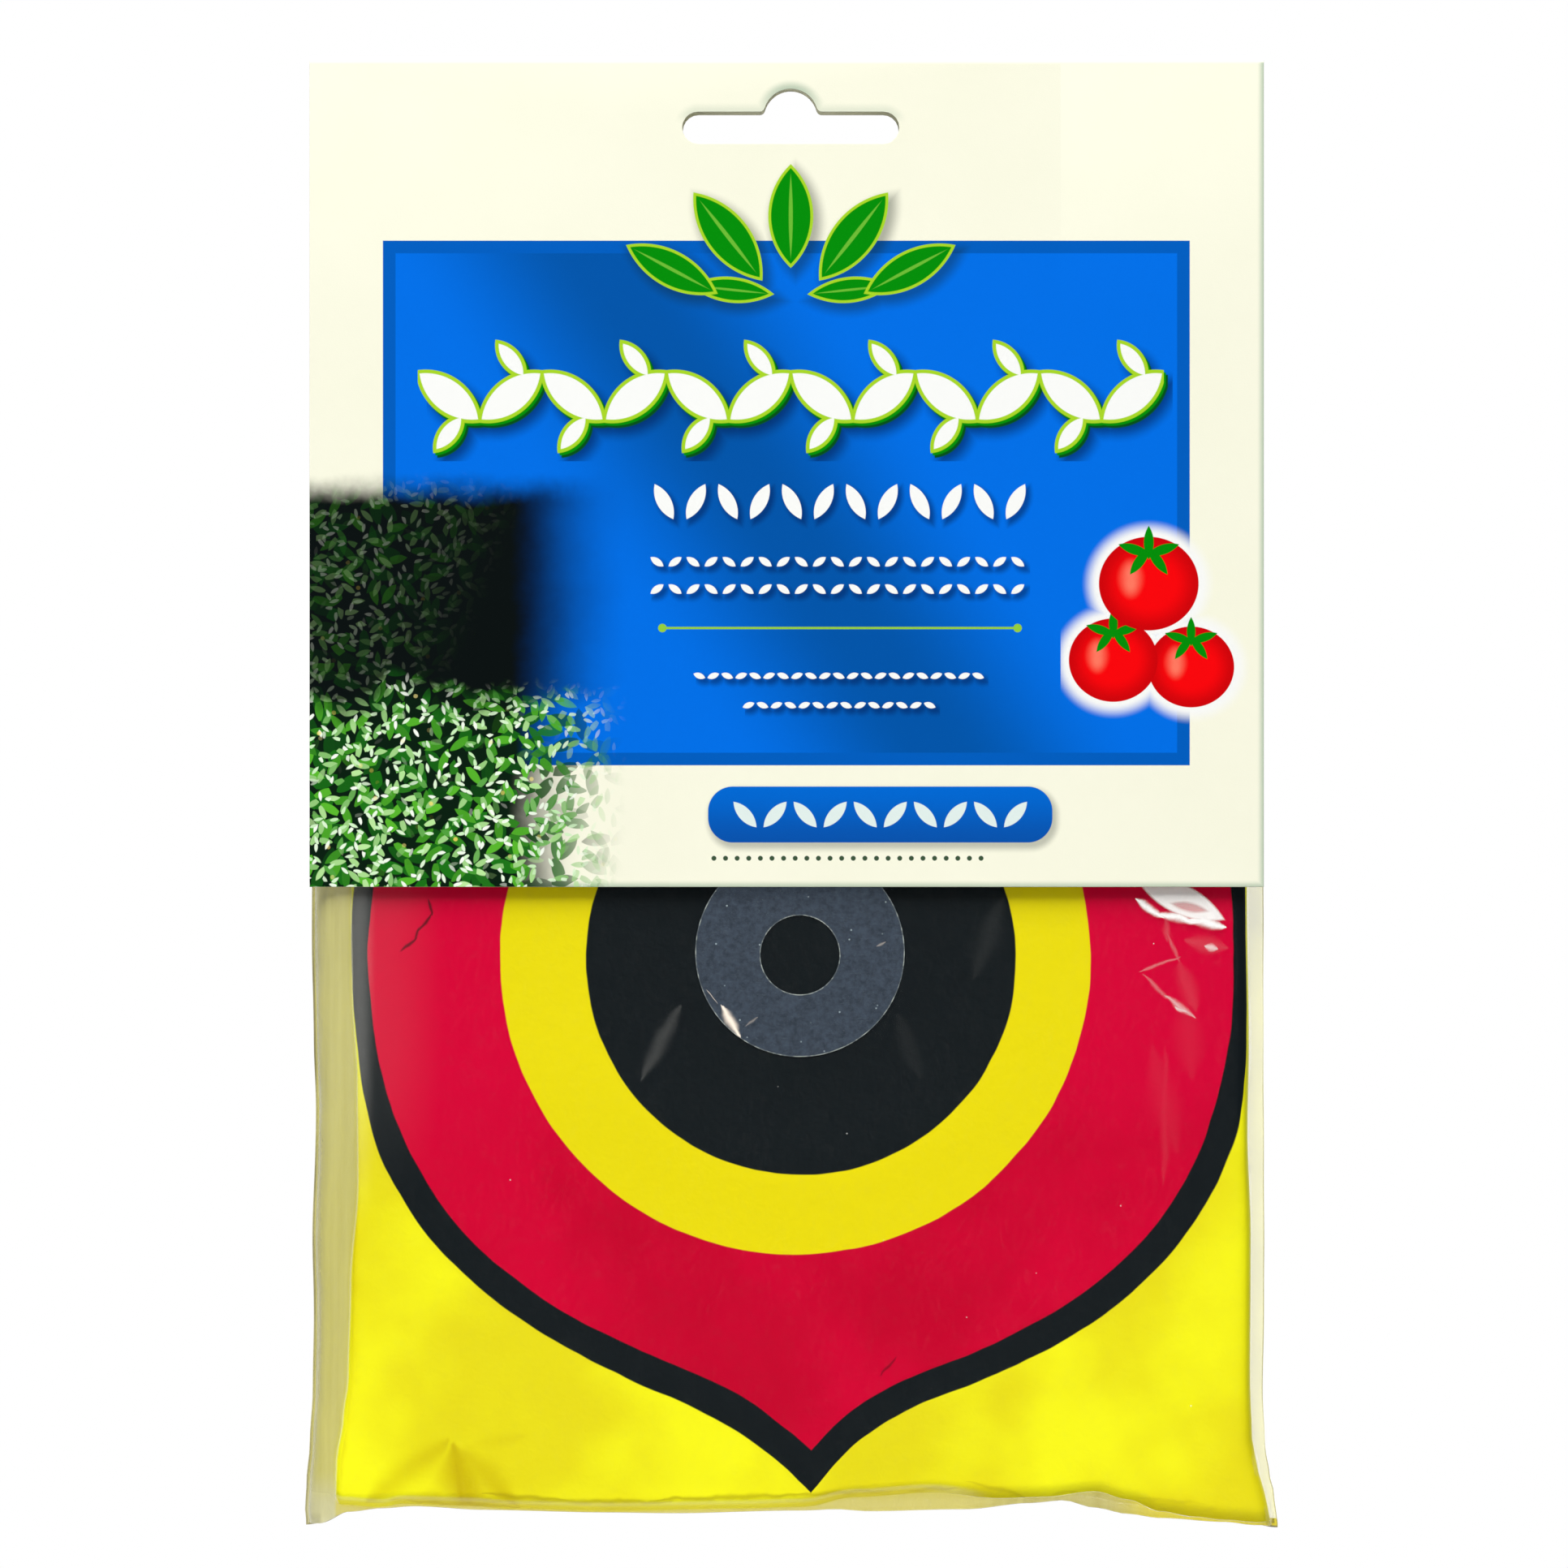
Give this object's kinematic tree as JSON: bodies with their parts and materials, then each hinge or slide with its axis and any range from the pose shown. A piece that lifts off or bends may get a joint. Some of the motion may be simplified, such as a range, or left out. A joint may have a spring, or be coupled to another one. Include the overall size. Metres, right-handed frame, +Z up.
{
  "type": "packaged bird scare balloon",
  "caption": "Folded yellow vinyl scare-eye balloon in a clear pouch, closed by a folded header card with a hang slot.",
  "frame": {"origin": "top of the hang slot's bump, where a peg bears, in the plane of the card's front face", "axes": "+Z up the hanging pack, -Y out of the printed front, +X to the right seen from the front"},
  "size_m": [0.1434, 0.0209, 0.2158],
  "materials": {
    "card": "gloss",
    "tape": "satin",
    "film": "gloss",
    "vinyl": "gloss",
    "foil": "gloss",
    "nickel": "polished",
    "clear_plastic": "gloss"
  },
  "bodies": {
    "pack": {"card_front_panel": "card", "tape_strip_front": "tape", "poly_pouch": "film", "gore_1": "vinyl", "gore_2": "vinyl", "gore_3": "vinyl", "gore_4": "vinyl", "gore_5": "vinyl", "gore_6": "vinyl", "foil_pupil_1": "foil", "foil_pupil_2": "foil", "foil_pupil_3": "foil", "foil_pupil_4": "foil", "foil_pupil_5": "foil", "foil_pupil_6": "foil", "pole_cap_inner": "vinyl", "pole_cap_outer": "vinyl", "hang_tab": "vinyl", "tab_eyelet": "nickel", "inflation_valve": "clear_plastic"},
    "back_panel": {"card_back_panel": "card", "tape_strip_back": "tape"},
    "ring": {"hanging_ring": "nickel"},
    "stopper": {"valve_stopper": "clear_plastic"}
  },
  "joints": [
    {"name": "card_fold", "type": "hinge", "parent": "pack", "child": "back_panel", "pos_m": [-0.0006, 0.00198, 0.0037], "axis": [1, 0, 0], "range_deg": [0, 145]},
    {"name": "ring_swing", "type": "hinge", "parent": "pack", "child": "ring", "pos_m": [0.02287, 0.01414, -0.1273], "axis": [0, 1, 0], "range_deg": [-80, 80]},
    {"name": "stopper_tongue", "type": "hinge", "parent": "pack", "child": "stopper", "pos_m": [-0.02983, 0.01654, -0.1237], "axis": [0, 1, 0], "range_deg": [0, 150]}
  ]
}
